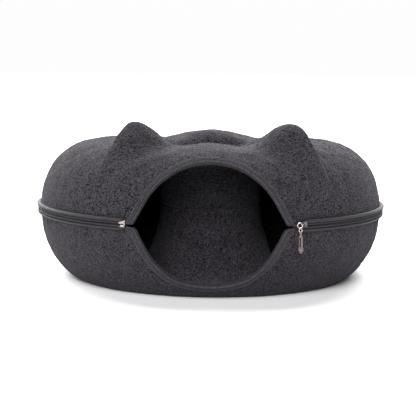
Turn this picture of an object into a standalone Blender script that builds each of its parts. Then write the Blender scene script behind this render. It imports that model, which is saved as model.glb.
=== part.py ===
"""Felt cat cave: a moulded ring tunnel in two felt halves, zipped together round the outside.

Metres, +Z up, the entrance faces -Y. The origin is on the ground under the middle of the whole part, so the
ring's own axis stands a little behind it, at AXIS_Y. An azimuth is counted from the entrance, and is positive
towards +X.
"""

from math import asin, atan2, cos, hypot, pi, radians, sin

import bmesh
import bpy
from mathutils import Vector

NAME = "felt_cat_cave"

# The ring
AXIS_Y = -0.0105  # the ring's axis, behind the part's middle
BODY_RADIUS = 0.245  # outside of the felt at the zip
CROWN_RADIUS = 0.1158  # where the top is highest
HOLE_RADIUS = 0.069  # the centre hole
ZIP_HEIGHT = 0.0988
SEAM_HEIGHT = 0.1010  # where the two halves meet in the centre hole
FELT = 0.004
GAP = 0.0003  # between two pieces that touch on the real thing

# Upper half: powers of its two rounded quarters, and how far the inner one rolls down
UPPER_RISE_POWER = 2.11
UPPER_SIDE_POWER = 3.25
ROLL_HEIGHT = 0.048
ROLL_POWER = 2.3
SEAM_GAP = 0.0007
SEAM_OVERHANG = 0.0012  # the upper wall stands proud of the lower one inside the tunnel

# Lower half
FOOT_RADIUS = 0.1947  # the flat base ends here
LOWER_RISE_POWER = 2.15
LOWER_SIDE_POWER = 1.33
INNER_FOOT_RADIUS = 0.115  # the flat base begins here
FLARE_RISE_POWER = 1.6
FLARE_SIDE_POWER = 1.8

# The top is uneven. Columns: azimuth in degrees, height of the top there
CROWN_HEIGHTS = (
    (0, 0.1985),
    (20, 0.1935),
    (42, 0.1965),
    (90, 0.1980),
    (126, 0.1970),
    (150, 0.1900),
    (180, 0.2013),
)

# Ears: each a steep cone with a round tip, blended into the top. Columns: x, y from the ring's axis, tip's
# height, slope, roundness of the tip, and reach outwards, to the hole, away from the entrance and towards it
EARS = (
    (-0.1020, -0.1112, 0.2261, 1.83, 0.0545, (1.26, 1.16, 0.69, 1.23)),
    (0.1070, -0.1046, 0.2257, 4.04, 0.3215, (1.10, 1.24, 0.77, 1.25)),
)
EAR_BLEND = 0.016
EAR_FADE = (0.140, 0.165)  # heights of the body between which the ear's foot fades in

# Cut edge of the felt round the entrance. Columns: half width, height
ARCH_EDGE = (
    (0.0000, 0.1797),
    (0.0335, 0.1737),
    (0.0592, 0.1584),
    (0.0744, 0.1431),
    (0.0845, 0.1279),
    (0.0931, 0.1118),
    (0.1000, 0.0990),
)
SILL_EDGE = (
    (0.0000, 0.0190),
    (0.0295, 0.0223),
    (0.0489, 0.0299),
    (0.0658, 0.0437),
    (0.0779, 0.0589),
    (0.0896, 0.0797),
    (0.0948, 0.0905),
    (0.0990, 0.0952),
    (0.1045, 0.0966),
)

# How the sheets are divided. Rows run from the zip to the seam, stretch by stretch of the section:
# share of the stretch, rows up to there
EDGE_COLUMNS = 20  # across half the entrance
EDGE_BEND = 0.02  # a radian of bend in the edge counts as this much more of its length
UPPER_ROWS = (((0.06, 2), (0.42, 3), (1.0, 9)), ((1.0, 5),))
LOWER_ROWS = (((0.09, 2), (1.0, 6)), ((1.0, 1),), ((0.3, 2), (1.0, 3)))
UPPER_FAN = ((62, 12), (180, 16))  # azimuth, columns up to there
LOWER_FAN = ((180, 22),)

# Edge strip
STRIP = 0.0015
STRIP_WIDTH = 0.0082  # over the felt, from its cut edge

# Zip
WELT_DEPTH = 0.0062
UPPER_WELT_HEIGHT = 0.0053
LOWER_WELT_HEIGHT = 0.0045
CHAIN_HALF = 0.0020
CHAIN_DEPTH = 0.0044
CHAIN_NOTCH = 0.0016
# where each ring ends, left and right of the entrance, in degrees
UPPER_WELT_ENDS = (26.6, 29.75)
LOWER_WELT_ENDS = (26.6, 28.3)
CHAIN_ENDS = (28.5, 29.75)
LEFT_TAPER = 0.55

# Slider and what hangs from it
SLIDER_AZIMUTH = 28.8
SLIDER_SIZE = (0.0062, 0.0062, 0.0072)  # along the zip, out of it, upright
SLIDER_LIFT = 0.0016
LUG_THICK = 0.0010
LUG_LIFT = 0.0006
LUG_EYE = 0.0015
LUG_RADIUS = 0.0024
PULL_X = 0.1148
PULL_Y = -0.2236  # from the ring's axis
RING_RADIUS = 0.0030
RING_WIRE = 0.00102
LINK_WIDTH = 0.0030  # half, at the middle of the wire
LINK_HEIGHT = 0.0036
LINK_WIRE = 0.0006
LINK_TURN = 58
EYE_RADIUS = 0.0017
EYE_WIRE = 0.00055
PULL_THICK = 0.0014

# Forked metal end
STOP_AZIMUTH = -26.9
STOP_THICK = 0.0016

FELT_COLOUR = (0.060, 0.058, 0.064)
STRIP_COLOUR = (0.075, 0.073, 0.080)
TAPE_COLOUR = (0.070, 0.070, 0.078)
CHAIN_COLOUR = (0.045, 0.045, 0.050)
METAL_COLOUR = (0.70, 0.64, 0.60)


# ---------------------------------------------------------------- curves


def blend(table, x):
    """The table's second column at x, eased between its rows."""
    for (x0, y0), (x1, y1) in zip(table, table[1:]):
        if x <= x1:
            t = max(0.0, (x - x0) / (x1 - x0))
            return y0 + (y1 - y0) * t * t * (3 - 2 * t)
    return table[-1][1]


def spline(points, steps=12):
    """A smooth curve through points in the plane."""
    p = [Vector(q) for q in points]
    p = [p[0] + p[0] - p[1]] + p + [p[-1] + p[-1] - p[-2]]
    curve = []
    for a, b, c, d in zip(p, p[1:], p[2:], p[3:]):
        for k in range(steps):
            t = k / steps
            curve.append(
                0.5 * (2 * b + (c - a) * t + (2 * a - 5 * b + 4 * c - d) * t * t + (3 * b - a - 3 * c + d) * t**3)
            )
    return curve + [p[-2]]


def lengths(curve, bend=0.0):
    """How far along the curve each of its points is. Each radian of turn counts as this much more."""
    far, before = [0.0], None
    for a, b in zip(curve, curve[1:]):
        step = b - a
        turn = step.angle(before) if before and bend else 0.0
        far.append(far[-1] + step.length + bend * turn)
        before = step
    return far


def along(curve, far, distance):
    """The point that lies this distance along the curve."""
    for a, b, fa, fb in zip(curve, curve[1:], far, far[1:]):
        if distance <= fb:
            return a.lerp(b, (distance - fa) / max(fb - fa, 1e-12))
    return curve[-1]


def half_edge(table):
    """Points along the right half of the felt's cut edge as (x, z), closer together where it bends."""
    mirrored = [(-x, z) for x, z in reversed(table[1:])] + list(table)
    curve = spline(mirrored)
    curve = curve[len(curve) // 2 :]
    far = lengths(curve, EDGE_BEND)
    return [along(curve, far, far[-1] * k / EDGE_COLUMNS) for k in range(EDGE_COLUMNS + 1)]


# ---------------------------------------------------------------- the felt body


def crown_height(azimuth):
    return blend(CROWN_HEIGHTS, abs(azimuth) * 180 / pi)


def wall_radius(height, azimuth):
    """Radius of the felt's outside between the foot and the crown."""
    if height >= ZIP_HEIGHT:
        t = min(1.0, (height - ZIP_HEIGHT) / (crown_height(azimuth) - ZIP_HEIGHT))
        bow = (1 - t**UPPER_RISE_POWER) ** (1 / UPPER_SIDE_POWER)
        return CROWN_RADIUS + (BODY_RADIUS - CROWN_RADIUS) * bow
    t = min(1.0, (ZIP_HEIGHT - height) / ZIP_HEIGHT)
    bow = (1 - t**LOWER_RISE_POWER) ** (1 / LOWER_SIDE_POWER)
    return FOOT_RADIUS + (BODY_RADIUS - FOOT_RADIUS) * bow


def ring_point(radius, azimuth, height):
    return Vector((radius * sin(azimuth), AXIS_Y - radius * cos(azimuth), height))


def front_point(x, height):
    """The point of the front wall's outside at this x and height."""
    azimuth = asin(x / BODY_RADIUS)
    for _ in range(8):
        azimuth = asin(x / wall_radius(height, azimuth))
    return ring_point(wall_radius(height, azimuth), azimuth, height)


def front_azimuth(x, height):
    point = front_point(x, height)
    return atan2(point.x, AXIS_Y - point.y)


def front_normal(x, height):
    step = 0.0005
    across = front_point(x + step, height) - front_point(x - step, height)
    up = front_point(x, height + step) - front_point(x, height - step)
    return across.cross(up).normalized()


def quarter(start, end, power_start, power_end, steps=60):
    """A rounded quarter turn that leaves start upright and reaches end lying flat."""
    points = []
    for k in range(steps + 1):
        turn = k / steps * pi / 2
        side, rise = cos(turn) ** (2 / power_start), sin(turn) ** (2 / power_end)
        points.append(Vector((end[0] + (start[0] - end[0]) * side, start[1] + (end[1] - start[1]) * rise)))
    points[-1] = Vector(end)
    return points


def upper_section(azimuth):
    """Stretches of the upper half's outside as (radius, height): zip to top, top to seam."""
    top = crown_height(azimuth)
    outer = quarter(
        (BODY_RADIUS, ZIP_HEIGHT + GAP / 2), (CROWN_RADIUS, top), UPPER_SIDE_POWER, UPPER_RISE_POWER
    )
    roll = quarter((HOLE_RADIUS, top - ROLL_HEIGHT), (CROWN_RADIUS, top), ROLL_POWER, ROLL_POWER)
    seam = Vector((HOLE_RADIUS + SEAM_OVERHANG, SEAM_HEIGHT + SEAM_GAP / 2))
    return outer, roll[::-1] + [seam]


def lower_section(_azimuth):
    """Stretches of the lower half's outside: zip to foot, the flat base, and up to the seam."""
    outer = quarter(
        (BODY_RADIUS, ZIP_HEIGHT - GAP / 2), (FOOT_RADIUS, 0.0), LOWER_SIDE_POWER, LOWER_RISE_POWER
    )
    inner = quarter(
        (HOLE_RADIUS, SEAM_HEIGHT - SEAM_GAP / 2), (INNER_FOOT_RADIUS, 0.0), FLARE_SIDE_POWER, FLARE_RISE_POWER
    )
    return outer, [outer[-1], inner[-1]], inner[::-1]


def ear_height(point):
    """Height of the felt over this point of the body, with the nearer ear blended in."""
    x, y, tip, slope, tip_round, reach = EARS[point.x > 0]
    outwards = Vector((x, y)).normalized()
    sideways = Vector((-outwards.y, outwards.x)) * (1 if x > 0 else -1)
    off = Vector((point.x - x, point.y - AXIS_Y - y))
    out, away = off.dot(outwards), off.dot(sideways)
    out /= reach[0] if out > 0 else reach[1]
    away /= reach[2] if away > 0 else reach[3]
    cone = tip + tip_round - hypot(slope * hypot(out, away), tip_round)
    near = max(0.0, 1 - abs(cone - point.z) / EAR_BLEND)
    lifted = max(cone, point.z) + near * near * EAR_BLEND / 4
    low, high = EAR_FADE
    share = min(1.0, max(0.0, (point.z - low) / (high - low)))
    return point.z + (lifted - point.z) * share * share * (3 - 2 * share)


# ---------------------------------------------------------------- making meshes


def keep(name, mesh, colour, roughness, metallic=0.0):
    """A named object with its own material, in the part's collection."""
    piece = bpy.data.objects.new(name, mesh)
    bpy.data.collections[NAME].objects.link(piece)
    material = bpy.data.materials.new(name)
    material.use_nodes = True
    shader = material.node_tree.nodes["Principled BSDF"]
    shader.inputs["Base Color"].default_value = (*colour, 1.0)
    shader.inputs["Roughness"].default_value = roughness
    shader.inputs["Metallic"].default_value = metallic
    mesh.materials.append(material)
    return piece


def finish_mesh(bm, name, sharp=35):
    bmesh.ops.recalc_face_normals(bm, faces=bm.faces)
    mesh = bpy.data.meshes.new(name)
    bm.to_mesh(mesh)
    bm.free()
    mesh.shade_smooth()
    mesh.set_sharp_from_angle(angle=radians(sharp))
    return mesh


def swept(name, rings, colour, roughness):
    """A closed solid through unlike rings of points, with flat ends."""
    bm = bmesh.new()
    rows = [[bm.verts.new(p) for p in ring] for ring in rings]
    for row, following in zip(rows, rows[1:]):
        for k in range(len(row)):
            j = (k + 1) % len(row)
            bm.faces.new((row[k], row[j], following[j], following[k]))
    bm.faces.new(rows[0])
    bm.faces.new(rows[-1])
    return keep(name, finish_mesh(bm, name), colour, roughness)


# ---------------------------------------------------------------- felt shells


def row_shares(parts):
    """Shares of one stretch at which its rows lie, after its start."""
    shares, start = [], 0.0
    for end, count in parts:
        shares += [start + (end - start) * (k + 1) / count for k in range(count)]
        start = end
    return shares


def fan_columns(edge, fan):
    """Azimuths of a half ring's columns, and the height at which the felt starts at each."""
    columns = [(front_azimuth(p.x, p.y), p.y) for p in half_edge(edge)]
    start = columns[-1][0] * 180 / pi
    for end, count in fan:
        columns += [(radians(start + (end - start) * (k + 1) / count), None) for k in range(count)]
        start = end
    return columns


def ring_columns(edge, fan):
    half = fan_columns(edge, fan)
    return [(-azimuth, height) for azimuth, height in reversed(half[1:])] + half


def from_height(stretch, height):
    """The stretch without what lies before it first passes this height."""
    for k, (a, b) in enumerate(zip(stretch, stretch[1:])):
        if (a.y - height) * (b.y - height) <= 0 and a.y != b.y:
            return [a.lerp(b, (height - a.y) / (b.y - a.y))] + stretch[k + 1 :]
    return stretch


def column_points(section_at, rows, azimuth, height):
    """The felt's outside up one column, as points in space."""
    stretches = list(section_at(azimuth))
    if height is not None:
        stretches[0] = from_height(stretches[0], height)
    flat = [stretches[0][0]]
    for stretch, parts in zip(stretches, rows):
        far = lengths(stretch)
        flat += [along(stretch, far, far[-1] * share) for share in row_shares(parts)]
    return [ring_point(q.x, azimuth, q.y) for q in flat]


def felt_shell(name, section_at, edge, fan, rows):
    """A flat grid rolled into the half ring, cut out at the entrance, with the felt's thickness."""
    columns = [column_points(section_at, rows, *column) for column in ring_columns(edge, fan)]
    across, up = len(columns) - 1, len(columns[0]) - 1
    bm = bmesh.new()
    bmesh.ops.create_grid(bm, x_segments=across, y_segments=up, size=0.5)
    for vertex in bm.verts:
        column, row = round((vertex.co.x + 0.5) * across), round((vertex.co.y + 0.5) * up)
        vertex.co = columns[column][row]
        if section_at is upper_section:
            vertex.co.z = ear_height(vertex.co)
    bmesh.ops.remove_doubles(bm, verts=bm.verts, dist=1e-5)
    shell = keep(name, finish_mesh(bm, name, 80), FELT_COLOUR, 0.95)
    wall = shell.modifiers.new("felt", "SOLIDIFY")
    wall.thickness = FELT
    wall.offset = -1
    wall.use_even_offset = True
    return shell


# ---------------------------------------------------------------- entrance bindings


def strip_section():
    """The folded strip as (distance from the felt's edge, lift off its outside), once round."""
    over, under = GAP, -FELT - 0.001
    nose = GAP + STRIP
    return (
        (STRIP_WIDTH, over),
        (STRIP_WIDTH, over + 0.7 * STRIP),
        (STRIP_WIDTH / 2, over + 1.1 * STRIP),
        (0.0, over + STRIP),
        (-nose, over),
        (-nose, under),
        (0.0, under - STRIP),
        (STRIP_WIDTH - 0.001, under - STRIP),
        (STRIP_WIDTH - 0.001, under),
        (-GAP, under),
        (-GAP, over),
    )


def strip_ring(point, tangent, outward):
    """The folded strip round one point of the felt's edge."""
    ring = []
    base = front_point(point.x, point.y)
    step = 0.001
    ahead = front_point(point.x + tangent.x * step, point.y + tangent.y * step) - base
    away = ahead.normalized().cross(front_normal(point.x, point.y)) * outward
    for distance, lift in strip_section():
        spot = base + away * distance
        ring.append(front_point(spot.x, spot.z) + front_normal(spot.x, spot.z) * lift)
    return ring


def binding(name, edge, outward, flat_end):
    """The strip along a whole edge. A flat end is drawn down onto the zip's level."""
    half = half_edge(edge)
    points = [Vector((-p.x, p.y)) for p in reversed(half[1:])] + half
    tangents = [(b - a).normalized() for a, b in zip(points[:1] + points, points[1:] + points[-1:])]
    tangents[0], tangents[-1] = (points[1] - points[0]).normalized(), (points[-1] - points[-2]).normalized()
    rings = [strip_ring(p, t, outward) for p, t in zip(points, tangents)]
    if flat_end:
        for ring, tangent in ((rings[0], tangents[0]), (rings[-1], tangents[-1])):
            for spot in ring:
                slide = (ZIP_HEIGHT + GAP - spot.z) / tangent.y
                spot.x += tangent.x * slide
                spot.z += tangent.y * slide
    return swept(name, rings, STRIP_COLOUR, 0.9)


# ---------------------------------------------------------------- zip


def zip_azimuths(edge, fan, ends):
    """A ring's sections on its shell's columns, from its left end over the back to its right one."""
    left_end, right_end = radians(ends[0]), radians(ends[1])
    turns = [azimuth for azimuth, _ in fan_columns(edge, fan)]
    left = [-azimuth for azimuth in turns if azimuth > left_end + 0.05]
    right = [azimuth for azimuth in reversed(turns) if azimuth > right_end + 0.01]
    return [-left_end, -left_end - 0.02] + left + right[1:] + [right_end]


def welt_section(side, tall):
    """A round welt of turned tape as (radius, height), on one side of the chain."""
    back = BODY_RADIUS + GAP
    near = CHAIN_HALF + GAP
    outline = (
        (0.00, 0.00),
        (0.72, 0.00),
        (0.96, 0.20),
        (1.00, 0.52),
        (0.84, 0.86),
        (0.45, 1.00),
        (0.00, 1.00),
    )
    return [(back + out * WELT_DEPTH, ZIP_HEIGHT + side * (near + up * tall)) for out, up in outline]


def chain_section():
    """The closed chain: two narrow strips of tape that meet in a groove."""
    back = BODY_RADIUS + 2 * GAP
    front = back + CHAIN_DEPTH
    return [
        (back, ZIP_HEIGHT - CHAIN_HALF),
        (front, ZIP_HEIGHT - CHAIN_HALF),
        (front, ZIP_HEIGHT - 0.3 * CHAIN_HALF),
        (front - CHAIN_NOTCH, ZIP_HEIGHT),
        (front, ZIP_HEIGHT + 0.3 * CHAIN_HALF),
        (front, ZIP_HEIGHT + CHAIN_HALF),
        (back, ZIP_HEIGHT + CHAIN_HALF),
    ]


def zip_ring(name, section, azimuths, colour, roughness):
    rings = [[ring_point(radius, azimuth, height) for radius, height in section] for azimuth in azimuths]
    for spot, (_, height) in zip(rings[0], section):  # drawn in to nothing much at the left end
        spot += (ring_point(BODY_RADIUS + 3 * GAP, azimuths[0], height) - spot) * LEFT_TAPER
    return swept(name, rings, colour, roughness)


def zip_bands():
    upper = zip_azimuths(ARCH_EDGE, UPPER_FAN, UPPER_WELT_ENDS)
    lower = zip_azimuths(SILL_EDGE, LOWER_FAN, LOWER_WELT_ENDS)
    chain = zip_azimuths(SILL_EDGE, LOWER_FAN, CHAIN_ENDS)
    zip_ring("zip_welt_upper", welt_section(1, UPPER_WELT_HEIGHT), upper, TAPE_COLOUR, 0.8)
    zip_ring("zip_welt_lower", welt_section(-1, LOWER_WELT_HEIGHT), lower, TAPE_COLOUR, 0.8)
    zip_ring("zip_chain", chain_section(), chain, CHAIN_COLOUR, 0.6)


# ---------------------------------------------------------------- metal


def place(name, location, turn):
    """An empty that stands at a spot of the zip and faces outwards."""
    empty = bpy.data.objects.new(name, None)
    bpy.data.collections[NAME].objects.link(empty)
    empty.location = location
    empty.rotation_euler.z = turn
    return empty


def plate(name, outline, thickness, hole=None):
    """A flat plate from its outline, with one hole if one is given."""
    curve = bpy.data.curves.new(name, "CURVE")
    curve.dimensions = "2D"
    curve.fill_mode = "BOTH"
    curve.extrude = thickness / 2
    for points in [outline] + ([hole] if hole else []):
        line = curve.splines.new("POLY")
        line.points.add(len(points) - 1)
        for target, point in zip(line.points, points):
            target.co = (*point, 0.0, 1.0)
        line.use_cyclic_u = True
    guide = bpy.data.objects.new(name, curve)
    bpy.data.collections[NAME].objects.link(guide)
    evaluated = guide.evaluated_get(bpy.context.evaluated_depsgraph_get())
    bm = bmesh.new()
    bm.from_mesh(bpy.data.meshes.new_from_object(evaluated))
    bmesh.ops.remove_doubles(bm, verts=bm.verts, dist=1e-6)
    bpy.data.objects.remove(guide)
    return keep(name, finish_mesh(bm, name), METAL_COLOUR, 0.25, 1.0)


def wire_loop(name, half_width, half_height, wire, around=20, sides=6):
    """A closed oval wire that stands in the XZ plane."""
    bpy.ops.mesh.primitive_torus_add(
        major_segments=around, minor_segments=sides, major_radius=half_width, minor_radius=wire
    )
    loop = bpy.context.object
    mesh = loop.data
    for vertex in mesh.vertices:
        turn = atan2(vertex.co.y, vertex.co.x)
        vertex.co.y += (half_height - half_width) * sin(turn)
        vertex.co = (vertex.co.x, -vertex.co.z, vertex.co.y)
    bpy.data.objects.remove(loop)
    mesh.shade_smooth()
    return keep(name, mesh, METAL_COLOUR, 0.25, 1.0)


def joined(piece, other):
    """Fuses another solid into a piece and hides it with the cutters."""
    cutters = bpy.data.collections.get("cutters") or bpy.data.collections.new("cutters")
    if cutters.name not in bpy.context.scene.collection.children:
        bpy.context.scene.collection.children.link(cutters)
    bpy.data.collections[NAME].objects.unlink(other)
    cutters.objects.link(other)
    other.hide_render = True
    other.display_type = "WIRE"
    union = piece.modifiers.new("joined", "BOOLEAN")
    union.operation = "UNION"
    union.solver = "EXACT"
    union.object = other


def block(name, size, location, parent, bevel):
    bm = bmesh.new()
    bmesh.ops.create_cube(bm, size=1.0)
    bmesh.ops.scale(bm, vec=size, verts=bm.verts)
    bmesh.ops.bevel(bm, geom=bm.edges, offset=bevel, segments=1, affect="EDGES")
    piece = keep(name, finish_mesh(bm, name, 20), METAL_COLOUR, 0.3, 1.0)
    piece.parent = parent
    piece.location = location
    return piece


def rounded(centre, radius, start, end, steps):
    """Points of an arc, angles in degrees."""
    turns = [radians(start + (end - start) * k / steps) for k in range(steps + 1)]
    return [(centre[0] + radius * cos(t), centre[1] + radius * sin(t)) for t in turns]


def slider():
    """The slider's body on the zip, with a flat lug whose eye holds the ring."""
    azimuth = radians(SLIDER_AZIMUTH)
    stand = place("slider_place", ring_point(BODY_RADIUS, azimuth, ZIP_HEIGHT), azimuth)
    long, deep, _ = SLIDER_SIZE
    body = block("zip_slider", SLIDER_SIZE, (0.0, -GAP - deep / 2, SLIDER_LIFT), stand, 0.0009)
    ring_side = Vector((PULL_X + RING_RADIUS, PULL_Y))
    out, along_zip = Vector((sin(azimuth), -cos(azimuth))), Vector((cos(azimuth), sin(azimuth)))
    eye = (ring_side.dot(along_zip), BODY_RADIUS - ring_side.dot(out))
    root = (-long / 2 + 0.0012, -deep + 0.0012)
    lean = atan2(eye[1] - root[1], eye[0] - root[0]) * 180 / pi
    outline = rounded(eye, LUG_RADIUS, lean - 90, lean + 90, 8)
    outline += rounded(root, LUG_RADIUS / 2, lean + 90, lean + 270, 4)
    lug = plate("slider_lug", outline, LUG_THICK, rounded(eye, LUG_EYE, 360, 36, 9))
    lug.parent = stand
    lug.location.z = LUG_LIFT
    joined(body, lug)


def hanging_pull():
    """The ring, a link and the slotted pull, one hooked in the other."""
    spot = Vector((PULL_X, AXIS_Y + PULL_Y, ZIP_HEIGHT))
    ring = wire_loop("zip_pull_ring", RING_RADIUS, RING_RADIUS, RING_WIRE, 24, 8)
    ring.location = spot
    hook = RING_WIRE + LINK_WIRE + 0.0006
    link = wire_loop("zip_pull_link", LINK_WIDTH, LINK_HEIGHT, LINK_WIRE)
    link.location = spot - Vector((0, 0, RING_RADIUS - hook + LINK_HEIGHT))
    link.rotation_euler.z = radians(LINK_TURN)
    link_foot = link.location.z - LINK_HEIGHT
    eye = wire_loop("pull_eye", EYE_RADIUS, EYE_RADIUS, EYE_WIRE, 12)
    eye_height = link_foot + LINK_WIRE + EYE_WIRE + 0.0005 - EYE_RADIUS
    eye.location = (spot.x, spot.y, eye_height)
    eye.rotation_euler.z = radians(LINK_TURN - 90)
    # the bar's right half, from its top down to the point of its tip. Columns: half width, drop
    half = (
        (0.0012, 0.0000),
        (0.0028, 0.0022),
        (0.0028, 0.0178),
        (0.0036, 0.0200),
        (0.0034, 0.0222),
        (0.0000, 0.0258),
    )
    outline = [(x, -z) for x, z in half] + [(-x, -z) for x, z in reversed(half[:-1])]
    slot = [(-0.0009, -0.0045), (-0.0009, -0.0170), (0.0009, -0.0170), (0.0009, -0.0045)]
    bar = plate("zip_pull", outline, PULL_THICK, slot)
    bar.location = (spot.x, spot.y, eye_height - EYE_RADIUS + EYE_WIRE / 2)
    bar.rotation_euler.x = pi / 2
    joined(bar, eye)


def end_stop():
    """The forked metal piece over the other end of the chain."""
    azimuth = radians(STOP_AZIMUTH)
    stand = place("stop_place", ring_point(BODY_RADIUS, azimuth, ZIP_HEIGHT), azimuth)
    # once round the fork, from its upper left leg. Columns: along the zip, height, in millimetres
    fork = (
        (-5.4, 0.7),
        (-5.4, 2.9),
        (-1.5, 3.2),
        (0.8, 3.5),
        (3.0, 5.2),
        (4.0, 4.6),
        (2.3, 1.6),
        (1.8, 0.2),
        (3.0, -1.2),
        (5.0, -2.5),
        (4.5, -3.5),
        (1.6, -3.4),
        (-5.0, -3.4),
        (-5.4, -1.4),
        (-1.0, -1.0),
        (-0.6, 0.4),
    )
    front = plate("zip_end_stop", [(x / 1000, z / 1000) for x, z in reversed(fork)], STOP_THICK)
    front.parent = stand
    front.location.y = -2 * GAP - WELT_DEPTH - STOP_THICK / 2
    front.rotation_euler.x = pi / 2
    stem_deep = WELT_DEPTH + GAP
    middle = (0.0006, -2 * GAP - stem_deep / 2, 0.0)
    stem = block("stop_stem", (0.0022, stem_deep, 0.0030), middle, stand, 0.0004)
    joined(front, stem)


# ---------------------------------------------------------------- build


def clear_scene():
    for thing in list(bpy.data.objects):
        bpy.data.objects.remove(thing)


def build():
    clear_scene()
    group = bpy.data.collections.new(NAME)
    bpy.context.scene.collection.children.link(group)
    felt_shell("upper_shell", upper_section, ARCH_EDGE, UPPER_FAN, UPPER_ROWS)
    felt_shell("lower_shell", lower_section, SILL_EDGE, LOWER_FAN, LOWER_ROWS)
    binding("entrance_binding_upper", ARCH_EDGE, -1, True)
    binding("entrance_binding_lower", SILL_EDGE, 1, False)
    zip_bands()
    slider()
    hanging_pull()
    end_stop()


build()
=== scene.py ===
"""The felt cat cave, dressed: heather felt, knitted edge strips, turned zip tape, coil, slider and pull."""

from math import cos, pi, radians, sin

import bpy
import numpy as np
from mathutils import Matrix, Vector


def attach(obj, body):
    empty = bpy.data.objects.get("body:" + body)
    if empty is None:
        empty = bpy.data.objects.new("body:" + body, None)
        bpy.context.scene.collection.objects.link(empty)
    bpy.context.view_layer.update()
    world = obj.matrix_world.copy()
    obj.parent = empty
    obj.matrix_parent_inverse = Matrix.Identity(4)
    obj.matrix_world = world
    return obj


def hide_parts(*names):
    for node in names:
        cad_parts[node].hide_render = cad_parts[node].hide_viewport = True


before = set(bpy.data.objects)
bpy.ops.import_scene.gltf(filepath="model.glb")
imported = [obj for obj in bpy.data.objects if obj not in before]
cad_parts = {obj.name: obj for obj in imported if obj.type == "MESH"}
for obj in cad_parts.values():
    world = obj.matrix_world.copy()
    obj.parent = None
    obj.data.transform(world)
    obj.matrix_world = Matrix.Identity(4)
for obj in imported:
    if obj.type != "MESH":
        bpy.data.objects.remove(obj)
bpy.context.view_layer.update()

# ---------------------------------------------------------------- sizes, as in the part's source

AXIS_Y = -0.0105
BODY_RADIUS = 0.245
CROWN_RADIUS = 0.1158
HOLE_RADIUS = 0.069
ZIP_HEIGHT = 0.0988
SEAM_HEIGHT = 0.1010
FELT = 0.004
GAP = 0.0003
UPPER_RISE_POWER = 2.11
UPPER_SIDE_POWER = 3.25
ROLL_HEIGHT = 0.048
ROLL_POWER = 2.3
SEAM_GAP = 0.0003
FOOT_RADIUS = 0.1947
LOWER_RISE_POWER = 2.15
LOWER_SIDE_POWER = 1.33
INNER_FOOT_RADIUS = 0.115
FLARE_RISE_POWER = 1.6
FLARE_SIDE_POWER = 1.8
CROWN_HEIGHTS = (
    (0, 0.1985),
    (20, 0.1935),
    (42, 0.1965),
    (90, 0.1980),
    (110, 0.1965),
    (125, 0.1962),
    (138, 0.1940),
    (148, 0.1895),
    (158, 0.1926),
    (169, 0.1998),
    (180, 0.2022),
)
# Columns: x, y from the ring's axis, tip's height, slopes outwards, inwards and towards the entrance, size and
# power of the rounding
EARS = (
    (-0.1043, -0.1171, 0.2259, 1.686, 1.449, 1.747, 0.0537, 2.39),
    (0.1087, -0.1267, 0.2261, 1.870, 1.512, 1.822, 0.0695, 2.41),
)
EAR_BLEND = 0.016
EAR_FADE = (0.140, 0.165)
CREST_BLEND = 0.005
CREST_SLOPE = 2.2
CREST_ROUND = 0.0075
CREST_NEAR = 0.006
ARCH_EDGE = (
    (0.0000, 0.1797),
    (0.0335, 0.1737),
    (0.0592, 0.1584),
    (0.0744, 0.1431),
    (0.0845, 0.1279),
    (0.0931, 0.1118),
    (0.1000, 0.0990),
)
SILL_EDGE = (
    (0.0000, 0.0190),
    (0.0295, 0.0223),
    (0.0489, 0.0299),
    (0.0658, 0.0437),
    (0.0779, 0.0589),
    (0.0896, 0.0797),
    (0.0948, 0.0905),
    (0.0990, 0.0952),
    (0.1045, 0.0966),
)
# The strip on the sill runs on this far past the felt's cut edge
SILL_END = ((0.1066, 0.0969),)
EDGE_BEND = 0.02
# How far the felt is trimmed back under the edge strip, past the edge in the source
EDGE_TRIM = 0.0020

# Felt sheets, finer than the source's. Columns crowd round the ears' azimuth, within this many degrees
EDGE_COLUMNS = 50
FAN_COLUMNS = 130
EAR_AZIMUTH = (41.5, 7.0)
EAR_DENSITY = 3.5
# Rows of each stretch of a section: how far along it they reach, and how many there are up to there
UPPER_ROWS = (((0.04, 4), (0.30, 7), (0.49, 7), (0.90, 43), (1.0, 5)), ((0.975, 24), (1.0, 6)))
LOWER_ROWS = (((0.05, 4), (1.0, 34)), ((1.0, 6),), ((0.975, 30), (1.0, 5)))
# Groove where the halves meet inside: how far it reaches from the seam, how far the lower and the upper edge open
SEAM_ROUND = 0.0044
SEAM_OPEN = (0.0005, 0.0034)
# Uneven lie of the felt: height and wavelength of its waves
FELT_LUMPS = ((0.00045, 0.034), (0.0002, 0.013))
LUMP_WAVES = 18

# Edge strip
RIB_PITCH = 0.0024

# Zip
# Sections of the two turned tapes, in millimetres: how far out from the felt, how far above the chain's middle
UPPER_TAPE = (
    (0.00, 7.95), (1.80, 8.15), (3.30, 8.10), (4.60, 7.75), (5.60, 7.05), (6.10, 6.15), (6.00, 5.25), (5.40, 4.55),
    (4.40, 4.10), (3.20, 3.90), (2.40, 3.65), (2.90, 3.40), (4.20, 3.20), (4.90, 2.75), (5.00, 2.20), (4.70, 1.70),
    (3.90, 1.40), (2.20, 1.25), (0.00, 1.25),
)
LOWER_TAPE = (
    (0.00, -0.45), (2.30, -0.50), (3.80, -0.70), (4.60, -1.15), (4.75, -1.75), (4.40, -2.35), (3.50, -2.80),
    (2.20, -3.10), (1.60, -3.40), (2.10, -3.70), (3.50, -3.95), (4.50, -4.45), (4.90, -5.20), (4.75, -6.05),
    (4.10, -6.80), (3.00, -7.30), (1.60, -7.55), (0.00, -7.60),
)
COIL_LIFT = 0.0034
COIL_RISE = 0.0003
UPPER_WELT_ENDS = (26.6, 29.75)
LOWER_WELT_ENDS = (26.6, 28.3)
CHAIN_ENDS = (28.5, 29.75)
# Rings along a tape, and how much and over which turn (radians) its left end narrows
TAPE_TURNS = 460
TAPER = 0.5
TAPER_TURN = 0.035
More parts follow.
